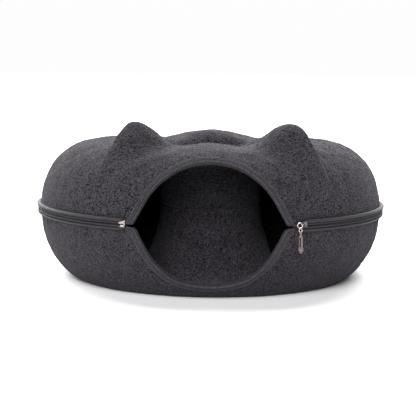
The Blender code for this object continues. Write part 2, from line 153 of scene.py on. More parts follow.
# Heights of the creases above and below the tapes, from the chain's middle, in millimetres
CREASES = (8.2, -7.7)
STITCH_PITCH = 0.0033
STITCH_SIZE = (0.0026, 0.0012)
COIL_PITCH = 0.0016

# ---------------------------------------------------------------- form of the body


def eased(table, x):
    """The table's second column at x, eased between its rows."""
    xs, ys = np.array(table, float).T
    k = np.clip(np.searchsorted(xs, x, side="right") - 1, 0, len(xs) - 2)
    t = np.clip((x - xs[k]) / (xs[k + 1] - xs[k]), 0, 1)
    return ys[k] + (ys[k + 1] - ys[k]) * t * t * (3 - 2 * t)


def crown_height(azimuth):
    """Height of the crown all round: as in the source in front, one smooth wave at the back."""
    turn = np.degrees(np.abs(azimuth))
    wave = smooth_curve(CROWN_HEIGHTS + ((191, CROWN_HEIGHTS[-2][1]),))
    return np.where(turn < CROWN_HEIGHTS[3][0], eased(CROWN_HEIGHTS, turn), np.interp(turn, *wave.T))


def wall_radius(height, azimuth):
    """Radius of the felt's outside between the foot and the crown."""
    up = np.clip((height - ZIP_HEIGHT) / (crown_height(azimuth) - ZIP_HEIGHT), 0, 1)
    down = np.clip((ZIP_HEIGHT - height) / ZIP_HEIGHT, 0, 1)
    upper = (1 - up**UPPER_RISE_POWER) ** (1 / UPPER_SIDE_POWER)
    lower = (1 - down**LOWER_RISE_POWER) ** (1 / LOWER_SIDE_POWER)
    return np.where(
        height >= ZIP_HEIGHT,
        CROWN_RADIUS + (BODY_RADIUS - CROWN_RADIUS) * upper,
        FOOT_RADIUS + (BODY_RADIUS - FOOT_RADIUS) * lower,
    )


def ring_point(radius, azimuth, height):
    radius, azimuth, height = np.broadcast_arrays(radius, azimuth, height)
    return np.stack([radius * np.sin(azimuth), AXIS_Y - radius * np.cos(azimuth), height], -1)


def front_point(x, height):
    """Points of the front wall's outside at these x and heights."""
    azimuth = np.arcsin(x / BODY_RADIUS)
    for _ in range(8):
        azimuth = np.arcsin(x / wall_radius(height, azimuth))
    return ring_point(wall_radius(height, azimuth), azimuth, height)


def unit(vectors):
    return vectors / np.linalg.norm(vectors, axis=-1, keepdims=True)


def front_normal(x, height):
    step = 0.0005
    across = front_point(x + step, height) - front_point(x - step, height)
    up = front_point(x, height + step) - front_point(x, height - step)
    return unit(np.cross(across, up))


def smooth_curve(points, steps=40):
    """A smooth curve through points, as in the part's source."""
    p = np.array(points, float)
    p = np.vstack([2 * p[0] - p[1], p, 2 * p[-1] - p[-2]])
    t = (np.arange(steps) / steps)[:, None]
    spans = [
        0.5 * (2 * b + (c - a) * t + (2 * a - 5 * b + 4 * c - d) * t**2 + (3 * b - a - 3 * c + d) * t**3)
        for a, b, c, d in zip(p, p[1:], p[2:], p[3:])
    ]
    return np.vstack(spans + [p[-2:-1]])


def spread(curve, shares, bend=0.0):
    """Points at these shares of the way along a curve. Each radian of turn counts as extra length."""
    steps = np.diff(curve, axis=0)
    lengths = np.linalg.norm(steps, axis=1)
    if bend:
        heading = np.arctan2(steps[:, 1], steps[:, 0])
        lengths[1:] += bend * np.abs(np.diff(np.unwrap(heading)))
    far = np.concatenate([[0], np.cumsum(lengths)])
    return np.stack([np.interp(np.asarray(shares) * far[-1], far, c) for c in curve.T], -1)


def whole_edge(table, trim=0.0):
    """The smooth edge of an entrance half from left to right, moved outwards by trim."""
    mirrored = [(-x, z) for x, z in reversed(table[1:])] + list(table)
    curve = smooth_curve(mirrored)
    if trim:
        heading = unit(np.gradient(curve, axis=0))
        side = 1 if table[0][1] > ZIP_HEIGHT else -1
        curve = curve + np.stack([-heading[:, 1], heading[:, 0]], -1) * side * trim
        limit = ZIP_HEIGHT + side * (GAP / 2 + 1e-5)
        curve[:, 1] = np.maximum(curve[:, 1], limit) if side > 0 else np.minimum(curve[:, 1], limit)
    return curve


def half_edge(table, columns):
    curve = whole_edge(table, EDGE_TRIM)
    return spread(curve[len(curve) // 2 :], np.arange(columns + 1) / columns, EDGE_BEND)


def quarter(start, end, power_start, power_end, steps=120):
    turn = np.linspace(0, pi / 2, steps + 1)
    side, rise = np.cos(turn) ** (2 / power_start), np.sin(turn) ** (2 / power_end)
    points = np.stack([end[0] + (start[0] - end[0]) * side, start[1] + (end[1] - start[1]) * rise], -1)
    points[-1] = end
    return points


def upper_section(azimuth):
    top = float(crown_height(azimuth))
    outer = quarter((BODY_RADIUS, ZIP_HEIGHT + GAP / 2), (CROWN_RADIUS, top), UPPER_SIDE_POWER, UPPER_RISE_POWER)
    roll = quarter((HOLE_RADIUS, top - ROLL_HEIGHT), (CROWN_RADIUS, top), ROLL_POWER, ROLL_POWER)
    seam = (HOLE_RADIUS, SEAM_HEIGHT + SEAM_GAP / 2)
    return outer, np.vstack([roll[::-1], seam])


def lower_section(_azimuth):
    outer = quarter((BODY_RADIUS, ZIP_HEIGHT - GAP / 2), (FOOT_RADIUS, 0.0), LOWER_SIDE_POWER, LOWER_RISE_POWER)
    seam = (HOLE_RADIUS, SEAM_HEIGHT - SEAM_GAP / 2)
    inner = quarter(seam, (INNER_FOOT_RADIUS, 0.0), FLARE_SIDE_POWER, FLARE_RISE_POWER)
    return outer, np.vstack([outer[-1], inner[-1]]), inner[::-1]


def ear_height(points):
    """Height of the felt over these points of the body, with the nearer ear blended in.

    An ear falls away gently towards the entrance, and steeply behind the crest that runs outwards from its tip.
    """
    lifted = points[:, 2].copy()
    for (x, y, tip, slope_out, slope_in, slope_towards, size, power), side in zip(EARS, (-1, 1)):
        here = points[:, 0] * side > 0
        outwards = np.array((x, y)) / np.hypot(x, y)
        sideways = np.array((-outwards[1], outwards[0])) * side
        off = points[here, :2] - (x, AXIS_Y + y)
        out, away = off @ outwards, off @ sideways
        behind = np.maximum(away, 0)
        run = np.hypot(np.where(out > 0, slope_out, slope_in) * out, slope_towards * np.minimum(away, 0))
        cone = tip + size - (run**power + size**power) ** (1 / power)
        cone -= np.hypot(CREST_SLOPE * behind, CREST_ROUND) - CREST_ROUND
        low = points[here, 2]
        blend = EAR_BLEND + (CREST_BLEND - EAR_BLEND) * np.clip(behind / CREST_NEAR, 0, 1)
        near = np.maximum(0, 1 - np.abs(cone - low) / blend)
        top = np.maximum(cone, low) + near * near * blend / 4
        share = np.clip((low - EAR_FADE[0]) / (EAR_FADE[1] - EAR_FADE[0]), 0, 1)
        lifted[here] = low + (top - low) * share * share * (3 - 2 * share)
    return lifted


def lumps(points, wavelength, seed):
    """A gentle random relief between about -1 and 1, from waves that run in all directions."""
    rng = np.random.default_rng(seed)
    relief = np.zeros(len(points))
    for _ in range(LUMP_WAVES):
        heading = unit(rng.normal(size=3)) * 2 * pi / (wavelength * rng.uniform(0.7, 1.5))
        relief += np.sin(points @ heading + rng.uniform(0, 2 * pi))
    return relief / 4


# ---------------------------------------------------------------- making pieces


def deselected():
    if bpy.context.object and bpy.context.object.mode != "OBJECT":
        bpy.ops.object.mode_set(mode="OBJECT")
    bpy.ops.object.select_all(action="DESELECT")


def alone(piece):
    """Selects this piece and nothing else."""
    deselected()
    piece.select_set(True)
    bpy.context.view_layer.objects.active = piece


def settled(piece, name, finish):
    """Gives a piece its name and finish, applies its place and lets it ride on the body."""
    alone(piece)
    piece.name = piece.data.name = name
    bpy.ops.object.transform_apply(location=True, rotation=True, scale=True)
    piece.data.materials.clear()
    piece.data.materials.append(finish)
    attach(piece, "root")
    return piece


def stands_for(piece, name, finish, node):
    """Settles a piece that is shown in place of this node."""
    settled(piece, name, finish)
    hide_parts(node)
    return piece


def applied(piece, kind, **settings):
    """Adds one modifier with these settings and applies it."""
    alone(piece)
    modifier = piece.modifiers.new(kind.lower(), kind)
    for key, value in settings.items():
        setattr(modifier, key, value)
    bpy.ops.object.modifier_apply(modifier=modifier.name)
    return piece


def smooth(piece, angle):
    alone(piece)
    bpy.ops.object.shade_smooth_by_angle(angle=radians(angle))


def turned_out(piece):
    """Merges doubles and turns all faces outwards."""
    alone(piece)
    bpy.ops.object.mode_set(mode="EDIT")
    bpy.ops.mesh.select_all(action="SELECT")
    bpy.ops.mesh.remove_doubles(threshold=1e-6)
    bpy.ops.mesh.normals_make_consistent(inside=False)
    bpy.ops.object.mode_set(mode="OBJECT")


def numbers(items, key, width=3):
    """One row of numbers for each point or face of a mesh."""
    found = np.empty(len(items) * width)
    items.foreach_get(key, found)
    return found.reshape(-1, width)


def coordinates(piece):
    return numbers(piece.data.vertices, "co")


def set_coordinates(piece, points):
    piece.data.vertices.foreach_set("co", np.ascontiguousarray(points).ravel())
    piece.data.update()


def vertex_normals(piece):
    return numbers(piece.data.vertices, "normal")


def cloth_grid(points):
    """A flat grid moved onto an array of points, columns by rows, keeping the flat grid's own UV."""
    across, up = points.shape[0] - 1, points.shape[1] - 1
    deselected()
    bpy.ops.mesh.primitive_grid_add(x_subdivisions=across, y_subdivisions=up, size=1.0, calc_uvs=True)
    grid = bpy.context.object
    flat = coordinates(grid)
    column = np.rint((flat[:, 0] + 0.5) * across).astype(int)
    row = np.rint((flat[:, 1] + 0.5) * up).astype(int)
    set_coordinates(grid, points[column, row])
    return grid


def woven_loop(rings, hollow=None):
    """A closed tube of faces through rings of points, with its UV: metres along it, metres round it."""
    count, around = rings.shape[:2]
    vertices = rings.reshape(-1, 3)
    k, j = np.meshgrid(np.arange(count - 1), np.arange(around), indexing="ij")
    n = (j + 1) % around
    faces = np.stack([k * around + j, k * around + n, (k + 1) * around + n, (k + 1) * around + j], -1)
    faces = faces.reshape(-1, 4).tolist()
    faces += [list(range(around))[::-1], list(range((count - 1) * around, count * around))]
    mesh = bpy.data.meshes.new("loop")
    mesh.from_pydata(vertices.tolist(), [], faces)
    middle = rings.mean(axis=1)
    along = np.concatenate([[0], np.cumsum(np.linalg.norm(np.diff(middle, axis=0), axis=1))])
    step = np.linalg.norm(np.roll(rings, -1, axis=1) - rings, axis=2).mean(axis=0)
    about = np.concatenate([[0], np.cumsum(step)])
    uv = mesh.uv_layers.new(name="UVMap")
    corners = np.zeros((len(mesh.loops), 2))
    sides = np.stack([np.stack([along[k], about[j]], -1), np.stack([along[k], about[j + 1]], -1),
                      np.stack([along[k + 1], about[j + 1]], -1), np.stack([along[k + 1], about[j]], -1)], -2)
    corners[: sides.size // 2] = sides.reshape(-1, 2)
    uv.data.foreach_set("uv", corners.ravel())
    # hollow carries painted shade and painted highlight, one number a point, for the knit finish
    if hollow is not None:
        given(mesh, "hollow", hollow)
    piece = bpy.data.objects.new("loop", mesh)
    bpy.context.scene.collection.objects.link(piece)
    return piece


def given(mesh, name, values):
    """Stores one number a vertex, for its finish to read."""
    mesh.attributes.new(name, "FLOAT", "POINT").data.foreach_set("value", np.ascontiguousarray(values, float).ravel())


def strewn(template, places):
    """Copies of a small piece at each place (4x4 matrices), joined into one mesh."""
    points = coordinates(template)
    loops = [list(p.vertices) for p in template.data.polygons]
    places = np.array(places)
    spots = np.einsum("nij,kj->nki", places[:, :3, :3], points) + places[:, None, :3, 3]
    faces = [[v + k * len(points) for v in loop] for k in range(len(places)) for loop in loops]
    mesh = bpy.data.meshes.new("strewn")
    mesh.from_pydata(spots.reshape(-1, 3).tolist(), [], faces)
    piece = bpy.data.objects.new("strewn", mesh)
    bpy.context.scene.collection.objects.link(piece)
    bpy.data.objects.remove(template)
    return piece


def placed(spot, along, out):
    """A place whose X runs along and whose Z points out."""
    x = unit(along)
    y = unit(np.cross(out, x))
    z = np.cross(x, y)
    place = np.eye(4)
    place[:3, 0], place[:3, 1], place[:3, 2], place[:3, 3] = x, y, z, spot
    return place


# ---------------------------------------------------------------- finishes


class Finish:
    """A node material in the making."""

    def __init__(self, name):
        self.material = bpy.data.materials.new(name)
        self.material.use_nodes = True
        self.nodes = self.material.node_tree.nodes
        self.links = self.material.node_tree.links
        self.shader = self.nodes["Principled BSDF"]

    def set(self, **values):
        for key, value in values.items():
            self.shader.inputs[key.replace("_", " ")].default_value = value

    def node(self, kind, inputs=(), **settings):
        made = self.nodes.new("ShaderNode" + kind)
        for key, value in settings.items():
            setattr(made, key, value)
        for key, value in dict(inputs).items():
            if hasattr(value, "is_output"):
                self.links.new(value, made.inputs[key])
            else:
                made.inputs[key].default_value = value
        return made

    def place(self, source="Object"):
        return self.node("TexCoord").outputs[source]

    def math(self, kind, a, b=0.0, clamp=False):
        return self.node("Math", {0: a, 1: b}, operation=kind, use_clamp=clamp).outputs[0]

    def noise(self, vector, scale, detail=2.0, roughness=0.5):
        inputs = {"Vector": vector, "Scale": scale, "Detail": detail, "Roughness": roughness}
        return self.node("TexNoise", inputs).outputs["Fac"]

    def ramp(self, value, stops):
        made = self.node("ValToRGB", {"Fac": value})
        elements = made.color_ramp.elements
        while len(elements) < len(stops):
            elements.new(0.5)
        for element, (position, colour) in zip(elements, stops):
            element.position = position
            element.color = (*colour, 1.0) if hasattr(colour, "__len__") else (colour, colour, colour, 1.0)
        return made.outputs["Color"]

    def mapped(self, vector, scale):
        return self.node("Mapping", {"Vector": vector, "Scale": scale}).outputs[0]

    def mix(self, share, a, b):
        made = self.node("Mix", data_type="RGBA")
        for k, value in ((0, share), (6, a), (7, b)):
            socket = made.inputs[k]
            if hasattr(value, "is_output"):
                self.links.new(value, socket)
            else:
                socket.default_value = (*value, 1.0) if hasattr(value, "__len__") else value
        return made.outputs[2]

    def colour(self, output):
        self.links.new(output, self.shader.inputs["Base Color"])

    def bump(self, height, distance, strength=1.0):
        made = self.node("Bump", {"Height": height, "Distance": distance, "Strength": strength})
        self.links.new(made.outputs[0], self.shader.inputs["Normal"])


# The six directions in which fibres lie in the felt, evenly spread
FIBRE_LAYS = tuple(
    tuple(c / 1.902 for c in lay)
    for lay in ((0, 1, 1.618), (0, 1, -1.618), (1, 1.618, 0), (1, -1.618, 0), (1.618, 0, 1), (-1.618, 0, 1))
)


# Its curved fibres: how far they wander, how much longer than wide they are drawn, how clear and how pale they are
FIBRE_DRIFT = 0.012
FIBRE_DRAWN = 0.8
FIBRE_CUT = (0.66, 0.76)
FIBRE_SHARE = 0.64
FIBRE_PALE = 2.5


def heather_felt(name, dark, middle, light):
    """Pressed wool felt: fine mottling, and short curved fibres that lie in all directions."""
    f = Finish(name)
    at = f.place()
    drift = f.node("TexNoise", {"Vector": at, "Scale": 110.0, "Detail": 1.0}).outputs["Color"]
    drift = f.node("VectorMath", {0: drift, 1: (0.5, 0.5, 0.5)}, operation="SUBTRACT").outputs[0]
    drift = f.node("VectorMath", {0: drift, "Scale": FIBRE_DRIFT}, operation="SCALE").outputs[0]
    curved = f.node("VectorMath", {0: at, 1: drift}, operation="ADD").outputs[0]
    fibres = None
    for lay in FIBRE_LAYS:
        reach = f.node("VectorMath", {0: curved, 1: lay}, operation="DOT_PRODUCT").outputs["Value"]
        back = tuple(-FIBRE_DRAWN * c for c in lay)
        drawn = f.node("VectorMath", {0: reach, 1: back, 2: curved}, operation="MULTIPLY_ADD")
        streak = f.noise(drawn.outputs[0], 820.0, 0.0, 0.4)
        streak = f.ramp(streak, ((FIBRE_CUT[0], 0.0), (FIBRE_CUT[1], 1.0)))
        fibres = streak if fibres is None else f.math("MAXIMUM", fibres, streak)
    fine = f.noise(at, 760.0, 0.0, 0.5)
    grain = f.noise(at, 470.0, 1.0, 0.5)
    cloud = f.noise(at, 45.0, 2.0, 0.5)
    tone = f.math("ADD", f.math("MULTIPLY", fine, 0.52), f.math("MULTIPLY", grain, 0.36))
    tone = f.math("ADD", tone, f.math("MULTIPLY", cloud, 0.12))
    base = f.ramp(tone, ((0.42, dark), (0.5, middle), (0.58, light)))
    pale = tuple(min(1.0, c * FIBRE_PALE) for c in light)
    f.colour(f.mix(f.math("MULTIPLY", fibres, FIBRE_SHARE), base, pale))
    height = f.math("ADD", f.math("MULTIPLY", fibres, 0.5), f.math("MULTIPLY", fine, 1.0))
    f.bump(height, 0.0012, 0.9)
    f.set(Roughness=0.95, Specular_IOR_Level=0.08, Sheen_Weight=0.09, Sheen_Roughness=0.3)
    f.set(Sheen_Tint=(0.97, 0.88, 1.0, 1.0))
    return f.material


def loose_wool(name, dark, light):
    """Single wool fibres: each has its own tone, mostly pale."""
    f = Finish(name)
    tone = f.node("Attribute", attribute_name="tone").outputs["Fac"]
    f.colour(f.ramp(tone, ((0.0, dark), (0.35, tuple(c * 0.45 for c in light)), (1.0, light))))
    f.set(Roughness=0.8, Specular_IOR_Level=0.2)
    return f.material


def knit_strip(name, dark, light):
    """Knitted edging: yarn with fine plies, with painted shade in the hollows between its loops and under its fold,
    and painted highlight on its raised loops.
    """
    f = Finish(name)
    fuzz = f.noise(f.place(), 700.0, 2.0, 0.6)
    yarn = f.ramp(fuzz, ((0.36, tuple(c * 0.35 for c in light)), (0.62, tuple(c * 1.6 for c in light))))
    # Painted light: the hollow value mixes the yarn towards dark as painted shade in the hollows and under the fold,
    # and below zero towards paler yarn as painted highlight on the raised loops
    hollow = f.node("Attribute", attribute_name="hollow").outputs["Fac"]
    painted_ridge_highlight = f.math("MULTIPLY", hollow, -1.0, clamp=True)
    yarn = f.mix(painted_ridge_highlight, yarn, tuple(c * 2.2 for c in light))
    f.colour(f.mix(f.math("MULTIPLY", hollow, 1.0, clamp=True), yarn, dark))
    f.bump(fuzz, 0.0005, 0.7)
    f.set(Roughness=0.85, Specular_IOR_Level=0.12, Sheen_Weight=0.08, Sheen_Roughness=0.35)
    return f.material


def woven_tape(name, dark, light):
    """Smooth zip tape: long warp threads crossed by a fine weft."""
    f = Finish(name)
    at = f.place("UV")
    warp = f.noise(f.mapped(at, (60.0, 2600.0, 1.0)), 1.0, 2.0, 0.5)
    weft = f.node("TexWave", {"Vector": at, "Scale": 520.0, "Distortion": 0.6}, bands_direction="X").outputs["Fac"]
    tone = f.math("ADD", f.math("MULTIPLY", warp, 0.8), f.math("MULTIPLY", weft, 0.2))
    f.colour(f.ramp(tone, ((0.32, dark), (0.68, light))))
    f.bump(tone, 0.00025, 0.5)
    f.set(Roughness=0.7, Specular_IOR_Level=0.18, Sheen_Weight=0.06, Sheen_Roughness=0.35)
    return f.material


def thread(name, colour, roughness=0.6):
    f = Finish(name)
    twist = f.noise(f.place(), 1500.0, 2.0, 0.6)
    f.colour(f.ramp(twist, ((0.3, tuple(c * 0.75 for c in colour)), (0.7, tuple(c * 1.25 for c in colour)))))
    f.bump(twist, 0.0001, 0.5)
    f.set(Roughness=roughness, Specular_IOR_Level=0.3)
    return f.material


def plated_metal(name, colour, roughness):
    """Warm nickel plating, a little uneven and rubbed."""
    f = Finish(name)
    at = f.place()
    cast = f.noise(at, 700.0, 3.0, 0.6)
    f.colour(f.ramp(cast, ((0.3, tuple(c * 0.8 for c in colour)), (0.7, colour))))
    f.bump(f.noise(at, 1400.0, 2.0, 0.5), 0.00005, 0.4)
    wear = f.ramp(f.noise(at, 350.0, 2.0, 0.5), ((0.35, roughness * 0.7), (0.7, roughness * 1.5)))
    f.links.new(wear, f.shader.inputs["Roughness"])
    f.set(Metallic=1.0)
    return f.material


FELT_FINISH = heather_felt(
    "heather_felt", (0.0016, 0.0015, 0.0018), (0.0068, 0.0063, 0.0075), (0.0270, 0.0250, 0.0302)
)
FIBRE_FINISH = loose_wool("loose_wool", (0.0031, 0.0028, 0.0034), (0.068, 0.063, 0.0765))
# The knit's dark colour is the painted shade in its hollows and under its fold
KNIT_FINISH = knit_strip("knit_edging", (0.0022, 0.0020, 0.0024), (0.0365, 0.0338, 0.0402))
TAPE_FINISH = woven_tape("zip_tape", (0.0104, 0.0096, 0.0117), (0.0345, 0.0319, 0.0388))
COIL_FINISH = thread("zip_coil_nylon", (0.0125, 0.0125, 0.014), 0.4)
# Real stitches whose thread is made dark as painted shadow along the creases
CREASE_SHADE_THREAD = thread("sewing_thread_painted_crease_shade", (0.0042, 0.0042, 0.005))
# One warm nickel in three brightnesses: the pull and slider finish and the end stop's finish are darker copies,
# painted shade for the dark surroundings their faces reflect
METAL_FINISH = plated_metal("warm_nickel", (0.44, 0.395, 0.38), 0.20)
CAST_FINISH = plated_metal("nickel_painted_deep_shade", (0.142, 0.119, 0.110), 0.25)
STOP_FINISH = plated_metal("nickel_painted_shade", (0.32, 0.27, 0.25), 0.24)

# ---------------------------------------------------------------- felt shells


def row_shares(parts):
    shares, start = [], 0.0
    for end, count in parts:
        shares += [start + (end - start) * (k + 1) / count for k in range(count)]
        start = end
    return shares


def fan_columns(table, edge_columns, fan):
    edge = half_edge(table, edge_columns)
    front = front_point(edge[:, 0], edge[:, 1])
    azimuths = np.arctan2(front[:, 0], AXIS_Y - front[:, 1])
    turns = np.linspace(azimuths[-1], pi, 400)
    middle, near = np.radians(EAR_AZIMUTH)
    dense = 1 + EAR_DENSITY * np.exp(-(((turns[1:] - middle) / near) ** 2))
    share = np.concatenate([[0], np.cumsum(dense)])
    rest = np.interp(np.linspace(0, share[-1], fan + 1)[1:], share, turns)
    return [(a, h) for a, h in zip(azimuths, edge[:, 1])] + [(a, None) for a in rest]


def ring_columns(table, edge_columns, fan):
    half = fan_columns(table, edge_columns, fan)
    return [(-azimuth, height) for azimuth, height in reversed(half[1:])] + half


def from_height(stretch, height):
    """The stretch without what lies before it first passes this height."""
    rising = (stretch[:-1, 1] - height) * (stretch[1:, 1] - height) <= 0
    k = int(np.argmax(rising))
    a, b = stretch[k], stretch[k + 1]
    share = (height - a[1]) / (b[1] - a[1]) if b[1] != a[1] else 0.0
    return np.vstack([a + (b - a) * share, stretch[k + 1 :]])


def column_points(section_at, rows, azimuth, height):
    stretches = list(section_at(azimuth))
    if height is not None:
        stretches[0] = from_height(stretches[0], height)
    flat = [stretches[0][:1]] + [spread(s, row_shares(parts)) for s, parts in zip(stretches, rows)]
    flat = np.vstack(flat)
    return ring_point(flat[:, 0], azimuth, flat[:, 1])


def felt_shell(name, node, section_at, table, rows, seed):
    """A sheet of felt moulded over the half ring, cut out at the entrance."""
    columns = ring_columns(table, EDGE_COLUMNS, FAN_COLUMNS)
    points = np.stack([column_points(section_at, rows, *column) for column in columns])
    if section_at is upper_section:
        points[..., 2] = ear_height(points.reshape(-1, 3)).reshape(points.shape[:2])
    shell = cloth_grid(points)
    turned_out(shell)
    spots, normals = coordinates(shell), vertex_normals(shell)
    if (normals * (spots - (0, AXIS_Y, 0.1)))[:, :2].sum() < 0:
        shell.data.flip_normals()
        normals = vertex_normals(shell)
    calm = np.clip((np.abs(spots[:, 2] - ZIP_HEIGHT) - 0.004) / 0.02, 0, 1)
    calm *= np.clip(spots[:, 2] / 0.01, 0, 1)
    relief = sum(high * lumps(spots, wave, seed + k) for k, (high, wave) in enumerate(FELT_LUMPS))
    set_coordinates(shell, spots + normals * (relief * calm)[:, None])
    outside = len(spots)
    applied(shell, "SOLIDIFY", thickness=FELT, offset=-1, use_even_offset=True)
    round_seam(shell, outside)
    smooth(shell, 60)
    return stands_for(shell, name, FELT_FINISH, node), outside


def round_seam(shell, outside):
    """Opens the edges where the two halves meet at the centre hole into a groove towards the tunnel."""
    spots = coordinates(shell)
    outer, inner = spots[:outside], spots[outside : 2 * outside]
    radius = np.hypot(outer[:, 0], outer[:, 1] - AXIS_Y)
    off = np.abs(outer[:, 2] - SEAM_HEIGHT) - SEAM_GAP / 2
    share = np.where(radius < HOLE_RADIUS + 0.01, np.clip(1 - off / SEAM_ROUND, 0, 1), 0)
    inner += (outer - inner) * ((1 - np.sqrt(1 - share**2)) * SEAM_ROUND / FELT / 5)[:, None]
    above = outer[:, 2].mean() > SEAM_HEIGHT
    inner[:, 2] += (SEAM_OPEN[1] if above else -SEAM_OPEN[0]) * share
    set_coordinates(shell, spots)


# ---------------------------------------------------------------- loose fibres

FIBRE_COUNTS = (11500, 4000)
FIBRE_LENGTH = (0.0025, 0.0060)
FIBRE_THICK = (0.00010, 0.00019)
FIBRE_RISE = (0.0001, 0.0007)


def shown_faces(shell, outside):
    """Middles, normals and areas of the shell's faces: those outside, and those that show through the entrance."""
    sides = shell.data.polygons
    middle, normal, area = numbers(sides, "center"), numbers(sides, "normal"), numbers(sides, "area", 1)[:, 0]
    first, last = (np.array([p.vertices[k] for p in sides]) for k in (0, 2))
    out = (first < outside) & (last < outside) & (middle[:, 2] > 0.005)
    radius = np.hypot(middle[:, 0], middle[:, 1] - AXIS_Y)
    azimuth = np.abs(np.arctan2(middle[:, 0], AXIS_Y - middle[:, 1]))
    inside = (first >= outside) & (last >= outside) & (azimuth < radians(70)) & (normal[:, 1] < 0.3)
    inside &= (radius < 0.1) | (middle[:, 2] < 0.03)
    return [(middle[k], normal[k], area[k]) for k in (out, inside)]


def loose_fibres(name, shell, outside, seed):
    """Short curved fibres that lie on the felt and lift off it a little, some pale and some dark."""
    rng = np.random.default_rng(seed)
    parts = []
    for (middle, normal, area), count in zip(shown_faces(shell, outside), FIBRE_COUNTS):
        pick = rng.choice(len(area), count, p=area / area.sum())
        parts.append(np.concatenate([middle[pick], normal[pick], np.sqrt(area[pick])[:, None]], 1))
    spots = np.vstack(parts)
    count = len(spots)
    normal = unit(spots[:, 3:6])
    along = rng.normal(size=(count, 3))
    along = unit(along - normal * (along * normal).sum(1, keepdims=True))
    aside = np.cross(normal, along)
    jitter = rng.uniform(-0.5, 0.5, (count, 2)) * spots[:, 6:7]
    centre = spots[:, :3] + along * jitter[:, :1] + aside * jitter[:, 1:]
    length = rng.uniform(*FIBRE_LENGTH, count)
    bend = rng.uniform(-0.35, 0.35, count) * length
    thick = rng.uniform(*FIBRE_THICK, count)
    rise = rng.uniform(*FIBRE_RISE, count)
    rows = []
    for share, swell in ((-0.5, 0), (-0.18, 1), (0.18, 1), (0.5, 0)):
        hump = 1 - (2 * share) ** 2
        middle = centre + along * (share * length)[:, None] + aside * (bend * hump)[:, None]
        middle = middle + normal * (rise * hump - 0.0001)[:, None]
        if not swell:
            rows.append(middle)
            continue
        for turn in (0.0, 2 * pi / 3, 4 * pi / 3):
            rows.append(middle + (aside * cos(turn) + normal * sin(turn)) * thick[:, None])
    points = np.stack(rows, 1)
    own = np.array([(0, 2, 1), (0, 3, 2), (0, 1, 3), (1, 2, 4), (2, 5, 4), (2, 3, 5), (3, 6, 5), (3, 1, 6), (1, 4, 6),
                    (7, 4, 5), (7, 5, 6), (7, 6, 4)])
    faces = (np.arange(count)[:, None, None] * 8 + own).reshape(-1, 3)
    mesh = bpy.data.meshes.new("fibres")
    mesh.from_pydata(points.reshape(-1, 3).tolist(), [], faces.tolist())
    given(mesh, "tone", np.repeat(rng.uniform(0, 1, count), 8))
    piece = bpy.data.objects.new("fibres", mesh)
    bpy.context.scene.collection.objects.link(piece)
    return settled(piece, name, FIBRE_FINISH)


# ---------------------------------------------------------------- edge strips

# The folded strip's profile, outside first. Columns: distance from the source's cut edge, lift off the felt,
# both in millimetres, and the painted shade there, below zero a painted highlight
STRIP_PROFILE = (
    (8.45, 0.10, 0.9), (8.60, 0.85, 0.2), (8.35, 1.45, -0.6), (7.85, 1.50, -0.6), (7.40, 0.85, 0.4),
    (7.00, 0.30, 1.0), (6.60, 0.70, 0.8), (6.20, 1.25, 0.1), (5.70, 1.60, -0.3), (5.15, 1.75, -0.2),
    (4.60, 1.65, 0.0), (4.10, 1.40, 0.3), (3.65, 0.95, 1.0), (3.30, 1.00, 0.9), (2.90, 1.50, 0.2),
    (2.40, 1.80, -0.2), (1.90, 1.80, -0.3), (1.40, 1.50, 0.0), (1.00, 1.05, 0.1), (0.75, 0.40, 0.3),
    (0.65, -0.60, 0.4), (0.65, -2.00, 0.5), (0.70, -3.60, 0.5),
    (1.00, -5.10, 0.5), (2.00, -6.20, 0.5), (3.60, -6.50, 0.5), (5.60, -6.50, 0.5), (7.20, -6.40, 0.5),
    (7.20, -5.10, 0.5), (4.60, -5.00, 0.5), (1.75, -5.00, 0.5), (1.70, -2.50, 0.5), (1.75, 0.15, 0.5),
    (2.80, 0.25, 0.5), (5.20, 0.25, 0.5),
)
# Rows of knitted loops on it. Columns: middle of the row, half width and depth in millimetres, slant, painted
# shade between the loops
KNIT_ROWS = (
    (8.05, 0.60, 0.30, 0.0, 0.5),
    (6.95, 0.50, 0.70, 0.0, 0.9),
    (5.30, 1.30, 0.80, 0.55, 1.2),
    (3.50, 0.55, 0.60, 0.0, 0.9),
    (2.05, 1.00, 0.60, -0.45, 1.0),
)
# The strip's ends: distance from the edge that they narrow to, how much, how deep the fold sits (millimetres), and
# the length over which they are drawn level
STRIP_HOLD = 4.6
STRIP_TUCK = 0.3
STRIP_SINK = 2
END_STRETCH = 0.011


